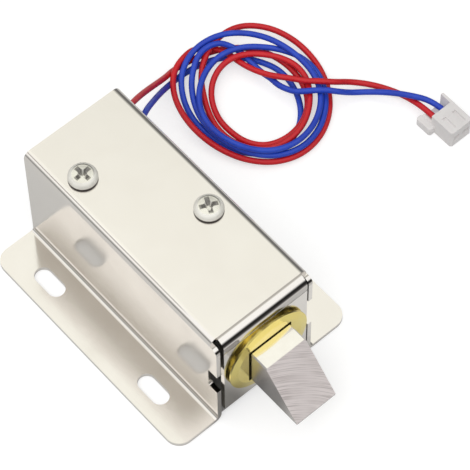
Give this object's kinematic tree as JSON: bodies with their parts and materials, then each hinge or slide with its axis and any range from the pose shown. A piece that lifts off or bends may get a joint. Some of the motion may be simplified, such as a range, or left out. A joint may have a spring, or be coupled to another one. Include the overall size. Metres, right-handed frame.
{
  "type": "solenoid lock",
  "caption": "Small solenoid lock: folded plated bracket with slotted feet, sprung slanted bolt in a round guide bush, and a two-wire lead with a plug.",
  "frame": {"origin": "centre of the four mounting slots, on the plane that the feet stand on", "axes": "+X out of the latch end, +Y towards the side the leads leave, +Z away from the mounting surface"},
  "size_m": [0.0785, 0.0873, 0.029],
  "materials": {
    "plated_sheet": "polished",
    "plated_screw": "polished",
    "gold_bush": "polished",
    "milled_bolt": "milled",
    "plated_iron": "satin",
    "spring_wire": "satin",
    "brass_liner": "satin",
    "bobbin_plastic": "satin",
    "copper_winding": "satin",
    "coil_tape": "satin",
    "black_rubber": "matte",
    "black_sleeving": "satin",
    "red_insulation": "gloss",
    "blue_insulation": "gloss",
    "white_nylon": "satin",
    "tin_contact": "satin"
  },
  "bodies": {
    "housing": {"mounting_bracket": "plated_sheet", "front_screw": "plated_screw", "rear_screw": "plated_screw", "guide_bush": "gold_bush", "return_spring": "spring_wire", "solenoid_yoke": "plated_iron", "fixed_core": "plated_iron", "bore_liner": "brass_liner", "coil_bobbin": "bobbin_plastic", "coil_winding": "copper_winding", "coil_tape": "coil_tape", "cushion_washer": "black_rubber", "red_lead_sleeve": "black_sleeving", "blue_lead_sleeve": "black_sleeving", "red_lead_exit": "red_insulation", "red_lead_tail": "red_insulation", "blue_lead_exit": "blue_insulation", "blue_lead_tail": "blue_insulation", "lead_coil": "red_insulation", "connector_housing": "white_nylon", "red_contact": "tin_contact", "blue_contact": "tin_contact"},
    "latch": {"latch_bolt": "milled_bolt", "plunger": "plated_iron", "bolt_pin": "plated_iron"}
  },
  "joints": [
    {"name": "latch_slide", "type": "slide", "parent": "housing", "child": "latch", "axis": [1, 0, 0], "range_m": [-0.01, 0], "stiffness_N_per_m": 200, "springref_m": 0.006, "deforming": ["return_spring"]}
  ]
}
